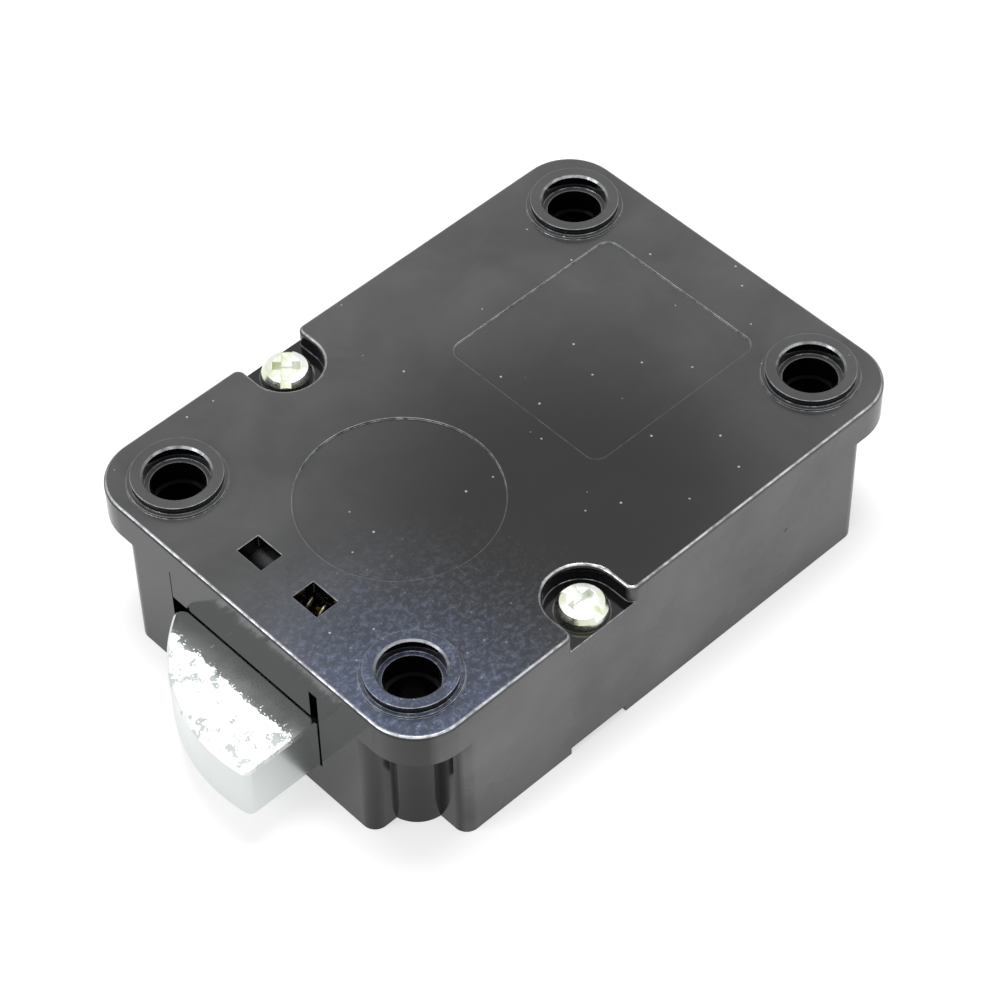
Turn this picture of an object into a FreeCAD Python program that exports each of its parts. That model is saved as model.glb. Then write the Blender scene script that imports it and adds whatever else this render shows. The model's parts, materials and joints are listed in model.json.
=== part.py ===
import FreeCAD, Part
import math
import os
import re
import Sketcher

# A swing bolt safe lock. X runs along the case with the bolt at -X, Z is up,
# z = 0 is the mounting face, and the origin is the centre of the four mounting holes.
os.makedirs("parts", exist_ok=True)
doc = FreeCAD.newDocument("safe_lock")
sheet = doc.addObject("Spreadsheet::Sheet", "sizes")

# Driving dimensions in millimetres and degrees
driving_sizes = {
    # case and cover
    "case_length": 82.6,
    "case_width": 59.0,
    "case_corner": 7.0,
    "wall_round": 1.8,
    "wall_thick": 2.0,
    "floor_thick": 2.5,
    "flange_thick": 1.0,
    "seam_height": 18.3,
    "cover_rise": 4.2,
    "cover_plate": 2.0,
    "cover_wall": 2.2,
    "rib_thick": 1.2,
    "rib_drop": 1.6,
    "rib_length": 18.0,
    "rib_near": 6.0,
    # mounting holes and their rings
    "hole_pitch_long": 66.7,
    "hole_pitch_wide": 41.3,
    "column_radius": 4.5,
    "column_hole": 3.2,
    "side_wall_past": 0.45,
    "end_wall_past": 1.05,
    "cover_boss": 4.65,
    "cover_hole": 3.475,
    "sink_radius": 4.1,
    "sink_deep": 2.0,
    "ring_radius": 5.675,
    "ring_rise": 1.3,
    "ring_step": 6.2,
    "ring_step_rise": 0.3,
    "ring_break": 0.25,
    # shallow places and windows in the cover
    "disc_from_end": 25.05,
    "disc_radius": 12.85,
    "disc_deep": 0.25,
    "plate_from_end": 9.0,
    "plate_long": 28.0,
    "plate_from_near": 16.9,
    "plate_from_far": 16.0,
    "plate_corner": 1.8,
    "plate_deep": 0.2,
    "window_from_end": 7.5,
    "window_long": 3.3,
    "window_wide": 4.3,
    "window_near": -4.6,
    "window_far": 5.2,
    # cover screws and their pockets
    "screw_from_end": 29.95,
    "screw_from_side": 3.5,
    "pocket_radius": 4.7,
    "pocket_ledge": 1.7,
    "pocket_wall": 1.4,
    "seat_radius": 3.4,
    "seat_deep": 0.2,
    "screw_boss": 3.4,
    "cover_screw_radius": 1.5,
    "cover_screw_head": 3.15,
    "cover_screw_head_rise": 2.1,
    "cover_screw_long": 9.0,
    "recess_wide": 1.35,
    "slot_deep": 0.9,
    "cross_deep": 1.1,
    "far_screw_turn": -43.0,
    # cable way in the mounting face
    "cable_from_end": 25.05,
    "cable_radius": 5.0,
    "channel_from_end": 29.5,
    "channel_wide": 9.2,
    "channel_deep": 1.1,
    # bolt mouth and the cover's tongue
    "mouth_near": -12.9,
    "mouth_far": 13.4,
    "mouth_floor": 4.9,
    "mouth_land": 1.4,
    "tongue_near": -11.5,
    "tongue_drop": 4.6,
    # bolt
    "pivot_from_end": 11.4,
    "pivot_y": -7.5,
    "bolt_reach": 22.9,
    "bolt_low": 5.2,
    "bolt_under_seam": 4.95,
    "relief_deep": 1.7,
    "relief_radius": 10.5,
    "bolt_edge_turn": 122.0,
    "bolt_swing": 72.0,
    "hub_radius": 5.2,
    "bolt_tip_round": 1.0,
    "bolt_edge_break": 0.3,
    "lug_inner": 4.0,
    "lug_outer": 7.5,
    "lug_rise": 1.5,
    "pivot_radius": 2.5,
    "pivot_thread": 1.9,
    "pivot_head": 3.3,
    "pivot_head_rise": 1.1,
    "pivot_slot": 0.8,
    "pivot_end_cover": 0.3,
    "pedestal_radius": 3.2,
    "magnet_radius": 1.5,
    "magnet_tall": 2.0,
    "magnet_from_tip": 3.4,
    "magnet_turn": 129.0,
    # return spring
    "return_wire": 0.8,
    "return_middle": 4.0,
    "return_climb": 0.9,
    "return_turns": 3.0,
    "return_leg": 7.0,
    "peg_radius": 1.0,
    "peg_drop": 3.3,
    "stop_rise": 2.0,
    # motor, drive spring and blocking slide
    "drive_from_end": 9.3,
    "drive_under_seam": 0.9,
    "motor_radius": 3.0,
    "motor_long": 10.0,
    "motor_front": 4.3,
    "motor_cap": 0.7,
    "motor_cap_radius": 2.8,
    "motor_round": 0.3,
    "motor_back_wall": 1.0,
    "motor_front_wall": 0.8,
    "can_wall": 0.3,
    "field_wall": 0.5,
    "field_from_front": 1.8,
    "field_long": 5.6,
    "air_gap": 0.2,
    "commutator_radius": 0.9,
    "commutator_long": 1.3,
    "terminal_long": 0.75,
    "terminal_inner": 0.9,
    "terminal_outer": 1.5,
    "terminal_drop": 0.6,
    "terminal_rise": 1.6,
    "terminal_step": 0.3,
    "shaft_radius": 0.5,
    "collar_radius": 1.0,
    "collar_long": 1.5,
    "finger_radius": 0.4,
    "coil_wire": 0.7,
    "coil_pitch": 2.1,
    "coil_turns": 4.0,
    "coil_middle": 1.95,
    "boss_long": 1.4,
    "slide_wall": 1.0,
    "slide_gap": 0.36,
    "slide_plate": 1.2,
    "slide_half": 1.9,
    "slide_wide_half": 2.4,
    "slide_nose": 2.3,
    "cradle_side": 0.8,
    "cradle_foot": 1.6,
    "cradle_reach": 6.5,
    "cradle_rim_rise": 0.3,
    "arm_under_seam": 3.1,
    "foot_lap": 3.0,
    "post_radius": 2.7,
    "post_from_end": 16.1,
    "post_apart": 8.6,
    "post_from_side": 9.9,
    "small_screw": 1.0,
    "small_head": 1.9,
    "small_head_rise": 1.2,
    "small_long": 5.0,
    "drill_spare": 0.5,
    # circuit board and what it carries
    "board_from_bolt_end": 32.8,
    "board_from_far_end": 3.8,
    "board_half": 15.3,
    "board_low": 5.0,
    "board_thick": 1.6,
    "standoff_radius": 2.6,
    "standoff_inset": 3.2,
    "capacitor_radius": 4.0,
    "capacitor_under_cover": 2.9,
    "capacitor_bead": 0.5,
    "capacitor_foot": 1.2,
    "capacitor_share": 0.793,
    "capacitor_across": 6.2,
    "keypad_socket_long": 7.0,
    "keypad_socket_wide": 8.5,
    "keypad_socket_tall": 5.5,
    "keypad_pin_pitch": 2.0,
    "keypad_pin": 0.6,
    "motor_socket_long": 4.6,
    "motor_socket_wide": 4.4,
    "motor_socket_tall": 4.0,
    "hall_inset": 2.4,
    "hall_across": 1.3,
    "hall_long": 1.6,
    "hall_wide": 3.4,
    "hall_tall": 5.5,
    "part_gap": 1.1,
    "socket_wall": 0.9,
    "socket_inset": 0.8,
    "lead_wire": 0.7,
    "lead_apart": 1.6,
    "lead_red_rise": 1.1,
    "lead_black_drop": 0.2,
    # softened edges of the cover
    "mouth_round": 1.1,
    "cover_edge": 0.5,
    # clearances
    "fit_gap": 0.05,
    "slip_gap": 0.15,
    "run_gap": 0.3,
    "lap": 1.0,
    "seat_gap": 0.02,
}


def fill_sheet():
    for row, (alias, value) in enumerate(driving_sizes.items(), start=1):
        sheet.set("A%d" % row, alias)
        sheet.set("B%d" % row, str(value))
        sheet.setAlias("B%d" % row, alias)
    doc.recompute()


# Places and sizes that follow from the driving dimensions
places = {
    "end_x": "case_length / 2",
    "side_y": "case_width / 2",
    "inner_x": "end_x - wall_thick",
    "inner_y": "side_y - wall_thick",
    "hole_x": "hole_pitch_long / 2",
    "hole_y": "hole_pitch_wide / 2",
    "side_wall_half": "hole_x + side_wall_past",
    "end_wall_half": "hole_y + end_wall_past",
    "cover_top": "seam_height + cover_rise",
    "cover_under": "cover_top - cover_plate",
    "ring_top": "cover_top + ring_rise",
    "ledge_top": "seam_height + pocket_ledge",
    "seat_level": "ledge_top - seat_deep",
    "screw_x": "screw_from_end - end_x",
    "screw_y": "side_y - screw_from_side",
    "disc_x": "disc_from_end - end_x",
    "plate_right": "end_x - plate_from_end",
    "plate_left": "plate_right - plate_long",
    "window_x": "window_from_end - end_x",
    "cable_x": "cable_from_end - end_x",
    "channel_x": "channel_from_end - end_x",
    "pivot_x": "pivot_from_end - end_x",
    "bolt_top": "seam_height - bolt_under_seam",
    "bolt_thick": "bolt_top - bolt_low",
    "plate_low": "bolt_low + relief_deep",
    "hub_low": "plate_low - slip_gap / 2",
    "peg_x": "pivot_x - return_leg + peg_radius",
    "peg_y": "pivot_y + return_middle - return_wire / 2 - peg_radius - fit_gap",
    "magnet_out": "bolt_reach - magnet_from_tip",
    "magnet_x": "pivot_x + magnet_out * cos(magnet_turn * 1 deg)",
    "magnet_y": "pivot_y + magnet_out * sin(magnet_turn * 1 deg)",
    "drive_x": "drive_from_end - end_x",
    "drive_z": "seam_height - drive_under_seam",
    "motor_back": "motor_front + motor_long",
    "cap_back": "motor_back + motor_cap",
    "can_inside": "motor_radius - can_wall",
    "field_end": "field_from_front + field_long",
    "slide_low": "bolt_top + slide_gap",
    "slide_top": "slide_low + slide_plate",
    "wall_far": "motor_front - run_gap",
    "wall_near": "wall_far - slide_wall",
    "boss_near": "wall_near - boss_long",
    "collar_far": "boss_near - run_gap - 2 * coil_pitch",
    "shaft_end": "collar_far - collar_long",
    "finger_y": "collar_far - collar_long / 2",
    "finger_start": "0.8 * collar_radius",
    "coil_start": "wall_near - coil_wire / 2 - fit_gap",
    "nose_left": "drive_x - slide_half",
    "nose_right": "drive_x + slide_half",
    "arm_low": "seam_height - arm_under_seam",
    "cradle_low": "bolt_top + run_gap + fit_gap",
    "cradle_rim": "seam_height + cradle_rim_rise",
    "foot_top": "cradle_low + cradle_foot",
    "post_left": "post_from_end - end_x",
    "post_right": "post_left + post_apart",
    "post_y": "side_y - post_from_side",
    "board_left": "board_from_bolt_end - end_x",
    "board_right": "end_x - board_from_far_end",
    "board_long": "board_right - board_left",
    "board_top": "board_low + board_thick",
    "capacitor_tall": "cover_under - capacitor_under_cover - board_top",
    "socket_left": "board_left + socket_inset",
    "keypad_y": "hall_across - hall_wide / 2 - part_gap - keypad_socket_wide / 2",
    "motor_socket_y": "hall_across + hall_wide / 2 + part_gap + motor_socket_wide / 2",
}


# An expression in plain words, spelled out down to the sheet's cells
def bound(expression):
    def spelled(word):
        name = word.group()
        if name in driving_sizes:
            return "sizes." + name
        if name in places:
            return "(%s)" % bound(places[name])
        return name

    return re.sub(r"[a-z_]+", spelled, expression)


def tie(item, setting, expression):
    item.setExpression(setting, bound(expression))


def put(item, x, y, z):
    tie(item, "Placement.Base.x", x)
    tie(item, "Placement.Base.y", y)
    tie(item, "Placement.Base.z", z)
    return item


def turn(item, axis, angle):
    item.Placement = FreeCAD.Placement(FreeCAD.Vector(), FreeCAD.Rotation(FreeCAD.Vector(*axis), 0))
    tie(item, "Placement.Rotation.Axis.x", str(axis[0]))
    tie(item, "Placement.Rotation.Axis.y", str(axis[1]))
    tie(item, "Placement.Rotation.Axis.z", str(axis[2]))
    tie(item, "Placement.Rotation.Angle", "(%s) * 1 deg" % angle)
    return item


def block(name, x_range, y_range, z_range):
    item = doc.addObject("Part::Box", name)
    for setting, (low, high) in zip(("Length", "Width", "Height"), (x_range, y_range, z_range)):
        tie(item, setting, "(%s) - (%s)" % (high, low))
    return put(item, x_range[0], y_range[0], z_range[0])


def rod(name, x, y, z_range, radius):
    item = doc.addObject("Part::Cylinder", name)
    tie(item, "Radius", radius)
    tie(item, "Height", "(%s) - (%s)" % (z_range[1], z_range[0]))
    return put(item, x, y, z_range[0])


# A cylinder along Y
def rod_along(name, x, z, y_range, radius):
    item = doc.addObject("Part::Cylinder", name)
    tie(item, "Radius", radius)
    tie(item, "Height", "(%s) - (%s)" % (y_range[1], y_range[0]))
    turn(item, (1, 0, 0), "-90")
    return put(item, x, y_range[0], z)


def cone(name, x, y, z_range, low_radius, high_radius):
    item = doc.addObject("Part::Cone", name)
    tie(item, "Radius1", low_radius)
    tie(item, "Radius2", high_radius)
    tie(item, "Height", "(%s) - (%s)" % (z_range[1], z_range[0]))
    return put(item, x, y, z_range[0])


def join(name, items):
    item = doc.addObject("Part::MultiFuse", name)
    item.Shapes = items
    item.Refine = True
    return item


def cut(name, base, tools):
    item = doc.addObject("Part::Cut", name)
    item.Base = base
    item.Tool = tools[0] if len(tools) == 1 else join(name + "_tools", tools)
    item.Refine = True
    return item


def common(name, items):
    item = doc.addObject("Part::MultiCommon", name)
    item.Shapes = items
    return item


def group(name, items):
    item = doc.addObject("Part::Compound", name)
    item.Links = items
    return item


# A block whose upright edges are rounded
def rounded(name, x_range, y_range, z_range, radius):
    x_in = ("(%s) + %s" % (x_range[0], radius), "(%s) - %s" % (x_range[1], radius))
    y_in = ("(%s) + %s" % (y_range[0], radius), "(%s) - %s" % (y_range[1], radius))
    pieces = [
        block(name + "_long", x_range, y_in, z_range),
        block(name + "_wide", x_in, y_range, z_range),
    ]
    for number, x in enumerate(x_in):
        for other, y in enumerate(y_in):
            pieces.append(rod("%s_corner_%d%d" % (name, number, other), x, y, z_range, radius))
    return join(name, pieces)


def origin_plane(body, role):
    return [feature for feature in body.Origin.OriginFeatures if feature.Role == role][0]


def sketch_on(body, name, role):
    sketch = body.newObject("Sketcher::SketchObject", name)
    sketch.AttachmentSupport = [(origin_plane(body, role), "")]
    sketch.MapMode = "FlatFace"
    return sketch


# A closed outline of straight lines, each corner held by its two distances
def straight_outline(sketch, corners):
    count = len(corners)
    for number in range(count):
        start = FreeCAD.Vector(number, number * number, 0)
        after = (number + 1) % count
        sketch.addGeometry(Part.LineSegment(start, FreeCAD.Vector(after, after * after, 0)), False)
    for number in range(count):
        sketch.addConstraint(
            Sketcher.Constraint("Coincident", number, 2, (number + 1) % count, 1)
        )
    for number, corner in enumerate(corners):
        for kind, axis, expression in zip(("DistanceX", "DistanceY"), (-2, -1), corner):
            if expression == "0":
                sketch.addConstraint(Sketcher.Constraint("PointOnObject", number, 1, axis))
            else:
                held = sketch.addConstraint(Sketcher.Constraint(kind, -1, 1, number, 1, 1.0))
                tie(sketch, "Constraints[%d]" % held, expression)


# A turned piece: its half section as (radius, height) corners, about its own Z
def turned(name, corners):
    body = doc.addObject("PartDesign::Body", name)
    sketch = sketch_on(body, name + "_section", "XZ_Plane")
    straight_outline(sketch, corners)
    revolution = body.newObject("PartDesign::Revolution", name + "_turning")
    revolution.Profile = sketch
    revolution.ReferenceAxis = (sketch, ["V_Axis"])
    revolution.Angle = 360
    return body


# A flat piece: its plan outline as corners, pushed up from its own base
def flat_piece(name, corners, thickness):
    body = doc.addObject("PartDesign::Body", name)
    sketch = sketch_on(body, name + "_plan", "XY_Plane")
    straight_outline(sketch, corners)
    pad = body.newObject("PartDesign::Pad", name + "_pad")
    pad.Profile = sketch
    tie(pad, "Length", thickness)
    return body


nodes = []


def finish_piece(item, node):
    item.Label = node
    nodes.append(item)
    return item


def four_holes(name, z_range, radius):
    return [
        rod("%s_%d" % (name, number), along + " * hole_x", across + " * hole_y", z_range, radius)
        for number, (along, across) in enumerate((("-1", "-1"), ("1", "-1"), ("1", "1"), ("-1", "1")))
    ]


# The die-cast housing: floor, notched walls, corner columns, bosses and bolt mouth
def make_housing():
    walls_top = "seam_height - flange_thick"
    solid = join("housing_solid", [
        rounded("housing_ends", ("-end_x", "end_x"), ("-end_wall_half", "end_wall_half"),
                ("0", "seam_height"), "wall_round"),
        rounded("housing_sides", ("-side_wall_half", "side_wall_half"), ("-side_y", "side_y"),
                ("0", "seam_height"), "wall_round"),
        rounded("housing_flange", ("-end_x", "end_x"), ("-side_y", "side_y"),
                (walls_top, "seam_height"), "case_corner"),
    ])
    hollow = join("housing_hollow", [
        block("hollow_ends", ("-inner_x", "inner_x"),
              ("wall_thick - end_wall_half", "end_wall_half - wall_thick"), ("floor_thick",
                                                                             "seam_height + lap")),
        block("hollow_sides", ("wall_thick - side_wall_half", "side_wall_half - wall_thick"),
              ("-inner_y", "inner_y"), ("floor_thick", "seam_height + lap")),
    ])
    shell = cut("housing_shell", solid, [hollow])
    added = [shell] + four_holes("housing_column", ("0", "seam_height"), "column_radius")
    for side, sign in (("near", "-1"), ("far", "1")):
        y = sign + " * screw_y"
        edge = ("-side_y", y) if sign == "-1" else (y, "side_y")
        round_boss = rod("screw_boss_round_" + side, "screw_x", y, ("0", "seam_height"), "screw_boss")
        web = block("screw_boss_web_" + side, ("screw_x - screw_boss", "screw_x + screw_boss"),
                    edge, ("0", "seam_height"))
        limit = block("screw_boss_limit_" + side, ("screw_x - screw_boss", "screw_x + screw_boss"),
                      ("-side_y", "side_y"), ("0", "seam_height"))
        added.append(common("screw_boss_" + side,
                            [join("screw_boss_block_" + side, [round_boss, web]), limit]))
    for name, x in (("left", "post_left"), ("right", "post_right")):
        added.append(rod("cradle_post_" + name, x, "post_y", ("0", "cradle_low"), "post_radius"))
    for number, (x, y) in enumerate(board_corners()):
        added.append(rod("standoff_%d" % number, x, y, ("0", "board_low"), "standoff_radius"))
    added.append(rod("pedestal", "pivot_x", "pivot_y", ("0", "hub_low"), "pedestal_radius"))
    added.append(rod("spring_stop", "pivot_x + return_leg - peg_radius", "peg_y",
                     ("0", "floor_thick + stop_rise"), "peg_radius"))
    added.append(block("mouth_land", ("-end_x", "mouth_land - inner_x"), ("mouth_near", "mouth_far"),
                       ("0", "mouth_floor")))
    tools = four_holes("housing_hole", ("-lap", "seam_height + lap"), "column_hole")
    tools.append(block("mouth_cut", ("-end_x - lap", "-inner_x"), ("mouth_near", "mouth_far"),
                       ("mouth_floor", "seam_height + lap")))
    tools.append(rod("cable_cut", "cable_x", "0", ("-lap", "floor_thick + lap"), "cable_radius"))
    channel = ("channel_x - channel_wide / 2", "channel_x + channel_wide / 2")
    tools.append(block("channel_cut", channel, ("-side_y - lap", "0"), ("-lap", "channel_deep")))
    tools.append(rod("channel_end", "channel_x", "0", ("-lap", "channel_deep"), "channel_wide / 2"))
    for side, sign in (("near", "-1"), ("far", "1")):
        tools.append(rod("tapped_" + side, "screw_x", sign + " * screw_y",
                         ("seat_level - cover_screw_long - lap", "seam_height + lap"),
                         "cover_screw_radius + fit_gap"))
    for name, x in (("left", "post_left"), ("right", "post_right")):
        tools.append(rod("post_tapped_" + name, x, "post_y",
                         ("foot_top - small_long - drill_spare", "foot_top"),
                         "small_screw + fit_gap"))
    for number, (x, y) in enumerate(board_corners()):
        tools.append(rod("standoff_tapped_%d" % number, x, y,
                         ("board_top - small_long - drill_spare", "board_top"),
                         "small_screw + fit_gap"))
    tools.append(rod("pedestal_tapped", "pivot_x", "pivot_y", ("channel_deep", "bolt_top"),
                     "pivot_thread + fit_gap"))
    finish_piece(cut("housing", join("housing_body", added), tools), "housing")


def board_corners():
    xs = ("board_left + standoff_inset", "board_right - standoff_inset")
    ys = ("standoff_inset - board_half", "board_half - standoff_inset")
    return [(xs[0], ys[0]), (xs[1], ys[0]), (xs[1], ys[1]), (xs[0], ys[1])]


# The die-cast cover: plate, rim, rings, screw pockets, windows, shallow places and tongue
def make_cover():
    outside = rounded("cover_outside", ("-end_x", "end_x"), ("-side_y", "side_y"),
                      ("seam_height", "cover_top"), "case_corner")
    inside = rounded("cover_inside", ("cover_wall - end_x", "end_x - cover_wall"),
                     ("cover_wall - side_y", "side_y - cover_wall"),
                     ("seam_height - lap", "cover_under"), "(case_corner - cover_wall)")
    added = [cut("cover_shell", outside, [inside])]
    added += four_holes("cover_boss_piece", ("seam_height", "cover_top"), "cover_boss")
    added += four_holes("cover_ring", ("cover_under", "ring_top"), "ring_radius")
    added += four_holes("cover_ring_step", ("cover_under", "cover_top + ring_step_rise"), "ring_step")
    pocket_limit = block("pocket_limit", ("-end_x", "end_x"), ("-side_y", "side_y"),
                         ("seam_height", "cover_top"))
    for side, sign in (("near", "-1"), ("far", "1")):
        added.append(common("pocket_solid_" + side, [
            pocket("pocket_outer_" + side, sign, ("seam_height", "cover_top"),
                   "(pocket_radius + pocket_wall)"),
            pocket_limit]))
    added.append(block("tongue", ("-end_x", "-inner_x"),
                       ("tongue_near", "mouth_far - slip_gap"), ("seam_height - tongue_drop", "cover_under")))
    added += ribs()
    tools = four_holes("cover_hole_cut", ("seam_height - lap", "ring_top + lap"), "cover_hole")
    tools += four_holes("cover_sink_cut", ("ring_top - sink_deep", "ring_top + lap"), "sink_radius")
    for number, (along, across) in enumerate((("-1", "-1"), ("1", "-1"), ("1", "1"), ("-1", "1"))):
        tools.append(cone("ring_break_%d" % number, along + " * hole_x", across + " * hole_y",
                          ("ring_top - ring_break", "ring_top"), "sink_radius", "sink_radius + ring_break"))
    for side, sign in (("near", "-1"), ("far", "1")):
        y = sign + " * screw_y"
        tools.append(pocket("pocket_cut_" + side, sign, ("ledge_top", "cover_top + lap"), "pocket_radius"))
        tools.append(rod("seat_cut_" + side, "screw_x", y, ("seat_level", "ledge_top + lap"), "seat_radius"))
        tools.append(rod("screw_hole_" + side, "screw_x", y, ("seam_height - lap", "ledge_top"),
                         "cover_screw_radius + slip_gap"))
    tools.append(rod("disc_cut", "disc_x", "0", ("cover_top - disc_deep", "cover_top + lap"),
                     "disc_radius"))
    tools.append(rounded("plate_cut", ("plate_left", "plate_right"),
                         ("plate_from_near - side_y", "side_y - plate_from_far"),
                         ("cover_top - plate_deep", "cover_top + lap"), "plate_corner"))
    for name, y in (("near", "window_near"), ("far", "window_far")):
        tools.append(block("window_cut_" + name,
                           ("window_x - window_long / 2", "window_x + window_long / 2"),
                           (y + " - window_wide / 2", y + " + window_wide / 2"),
                           ("cover_under - lap", "cover_top + lap")))
    sharp = cut("cover_sharp", join("cover_body", added), tools)
    doc.recompute()
    mouths = doc.addObject("Part::Fillet", "cover_mouths")
    mouths.Base = sharp
    mouths.Edges = [(number, driving_sizes["mouth_round"], driving_sizes["mouth_round"])
                    for number in mouth_edges(sharp.Shape)]
    doc.recompute()
    softened = doc.addObject("Part::Fillet", "cover")
    softened.Base = mouths
    softened.Edges = [(number, driving_sizes["cover_edge"], driving_sizes["cover_edge"])
                      for number in top_edges(mouths.Shape)]
    finish_piece(softened, "cover")


# The upright edges where the screw pockets open in the long sides
def mouth_edges(shape):
    numbers = []
    side = driving_sizes["case_width"] / 2
    screw_x = driving_sizes["screw_from_end"] - driving_sizes["case_length"] / 2
    ledge = driving_sizes["seam_height"] + driving_sizes["pocket_ledge"]
    for number, edge in enumerate(shape.Edges, start=1):
        box = edge.BoundBox
        upright = box.XLength < 0.001 and box.YLength < 0.001 and box.ZMin > ledge - 0.01
        near = abs(box.Center.x - screw_x) < driving_sizes["pocket_radius"] + 0.01
        if upright and near and abs(abs(box.Center.y) - side) < 0.001:
            numbers.append(number)
    return numbers


# The edges all round the top of the cover
def top_edges(shape):
    numbers = []
    top = driving_sizes["seam_height"] + driving_sizes["cover_rise"]
    inset = driving_sizes["case_corner"]
    screw_x = driving_sizes["screw_from_end"] - driving_sizes["case_length"] / 2
    for number, edge in enumerate(shape.Edges, start=1):
        box = edge.BoundBox
        level = box.ZLength < 0.001 and abs(box.ZMin - top) < 0.001
        middle = edge.valueAt((edge.FirstParameter + edge.LastParameter) / 2)
        along = driving_sizes["case_length"] / 2 - abs(middle.x)
        across = driving_sizes["case_width"] / 2 - abs(middle.y)
        if along < inset and across < inset:
            rim = abs(((inset - along) ** 2 + (inset - across) ** 2) ** 0.5 - inset) < 0.001
        else:
            rim = along < 0.001 or across < 0.001
        pocket_near = abs(middle.x - screw_x) < 2 * driving_sizes["pocket_radius"]
        if level and (rim or (pocket_near and across < 0.6 * inset + driving_sizes["pocket_radius"])):
            numbers.append(number)
    return numbers


# The U-shaped place of a cover screw, open to the long edge
def pocket(name, sign, z_range, radius):
    y = sign + " * screw_y"
    edge = ("-side_y - lap", y) if sign == "-1" else (y, "side_y + lap")
    return join(name, [
        rod(name + "_round", "screw_x", y, z_range, radius),
        block(name + "_way", ("screw_x - %s" % radius, "screw_x + %s" % radius), edge, z_range),
    ])


# Ribs under the cover that stand just inside the housing's walls
def ribs():
    outer = "inner_y - slip_gap"
    inner = "inner_y - slip_gap - rib_thick"
    pieces = []
    for side, y_range in (("near", ("-(%s)" % outer, "-(%s)" % inner)), ("far", (inner, outer))):
        pieces.append(block("rib_" + side, ("rib_near", "rib_near + rib_length"), y_range,
                            ("seam_height - rib_drop", "cover_under")))
    pieces.append(block("rib_end", ("inner_x - slip_gap - rib_thick", "inner_x - slip_gap"),
                        ("-rib_length / 2", "rib_length / 2"), ("seam_height - rib_drop", "cover_under")))
    return pieces


def make_cover_screws():
    screws = []
    for side, sign, way in (("near", "-1", "0"), ("far", "1", "far_screw_turn")):
        body = turned("cover_screw_" + side, [
            ("0", "-cover_screw_long"),
            ("cover_screw_radius", "-cover_screw_long"),
            ("cover_screw_radius", "0"),
            ("cover_screw_head", "0"),
            ("cover_screw_head", "cover_screw_head_rise * 0.55"),
            ("cover_screw_head * 0.86", "cover_screw_head_rise * 0.88"),
            ("cover_screw_head * 0.6", "cover_screw_head_rise"),
            ("0", "cover_screw_head_rise"),
        ])
        driven = cut("cover_screw_driven_" + side, body, head_recess(side))
        turn(driven, (0, 0, 1), way)
        screws.append(put(driven, "screw_x", sign + " * screw_y", "seat_level + seat_gap"))
    finish_piece(group("cover_screws", screws), "cover_screws")


# The cross in a cover screw's head, with one arm run out to a slot
def head_recess(side):
    half = ("-recess_wide / 2", "recess_wide / 2")
    top = "cover_screw_head_rise + lap"
    return [
        block("slot_" + side, half, ("-0.97 * cover_screw_head", "0.97 * cover_screw_head"),
              ("cover_screw_head_rise - slot_deep", top)),
        block("cross_" + side, ("-0.56 * cover_screw_head", "0.56 * cover_screw_head"), half,
              ("cover_screw_head_rise - cross_deep", top)),
    ]


# The cast swing bolt: plate relieved underneath for the spring, hub bore, stop lug on top and spring peg
def make_bolt():
    body = doc.addObject("PartDesign::Body", "bolt_plate")
    sketch = sketch_on(body, "bolt_plan", "XY_Plane")
    bolt_outline(sketch)
    pad = body.newObject("PartDesign::Pad", "bolt_pad")
    pad.Profile = sketch
    tie(pad, "Length", "bolt_thick")
    doc.recompute()
    tip = body.newObject("PartDesign::Fillet", "bolt_tip")
    tip.Base = (pad, upright_edges(pad.Shape, driving_sizes["bolt_reach"]))
    tie(tip, "Radius", "bolt_tip_round")
    doc.recompute()
    breaks = body.newObject("PartDesign::Chamfer", "bolt_breaks")
    breaks.Base = (tip, rim_edges(tip.Shape, driving_sizes["bolt_reach"], pad.Length.Value))
    tie(breaks, "Size", "bolt_edge_break")
    put(body, "pivot_x", "pivot_y", "bolt_low")
    ring = cut("lug_ring", rod("lug_round", "pivot_x", "pivot_y",
                               ("bolt_top - lap / 2", "bolt_top + lug_rise"),
                               "lug_outer"),
               [rod("lug_bore", "pivot_x", "pivot_y", ("bolt_top - lap", "bolt_top + 2 * lug_rise"),
                    "lug_inner")])
    lead = block("lug_lead", ("pivot_x - 2 * lug_outer", "nose_left - run_gap"),
                 ("pivot_y", "pivot_y + 2 * lug_outer"), ("bolt_top - lap / 2", "bolt_top + lug_rise"))
    trail = block("lug_trail", ("0", "3 * lug_outer"), ("0", "2 * lug_outer"), ("0", "lug_rise + lap / 2"))
    turn(trail, (0, 0, 1), "bolt_swing")
    clear = "(nose_right + run_gap - pivot_x)"
    put(trail, "pivot_x + %s * cos(bolt_swing * 1 deg)" % clear,
        "pivot_y + %s * sin(bolt_swing * 1 deg)" % clear, "bolt_top - lap / 2")
    lug = common("stop_lug", [ring, lead, trail])
    peg = rod("spring_peg", "peg_x", "peg_y", ("plate_low - peg_drop", "plate_low + lap"), "peg_radius")
    relief = rod("underside_relief", "pivot_x", "pivot_y", ("bolt_low - lap", "plate_low"), "relief_radius")
    plate = cut("relieved_plate", body, [relief])
    tools = [
        rod("hub_bore", "pivot_x", "pivot_y", ("bolt_low - lap", "bolt_top + lug_rise"),
            "pivot_radius + fit_gap"),
        rod("magnet_seat", "magnet_x", "magnet_y", ("bolt_low - lap", "bolt_low + magnet_tall + seat_gap"),
            "magnet_radius + seat_gap"),
    ]
    finish_piece(cut("swing_bolt", join("bolt_solid", [plate, lug, peg]), tools), "swing_bolt")


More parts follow.
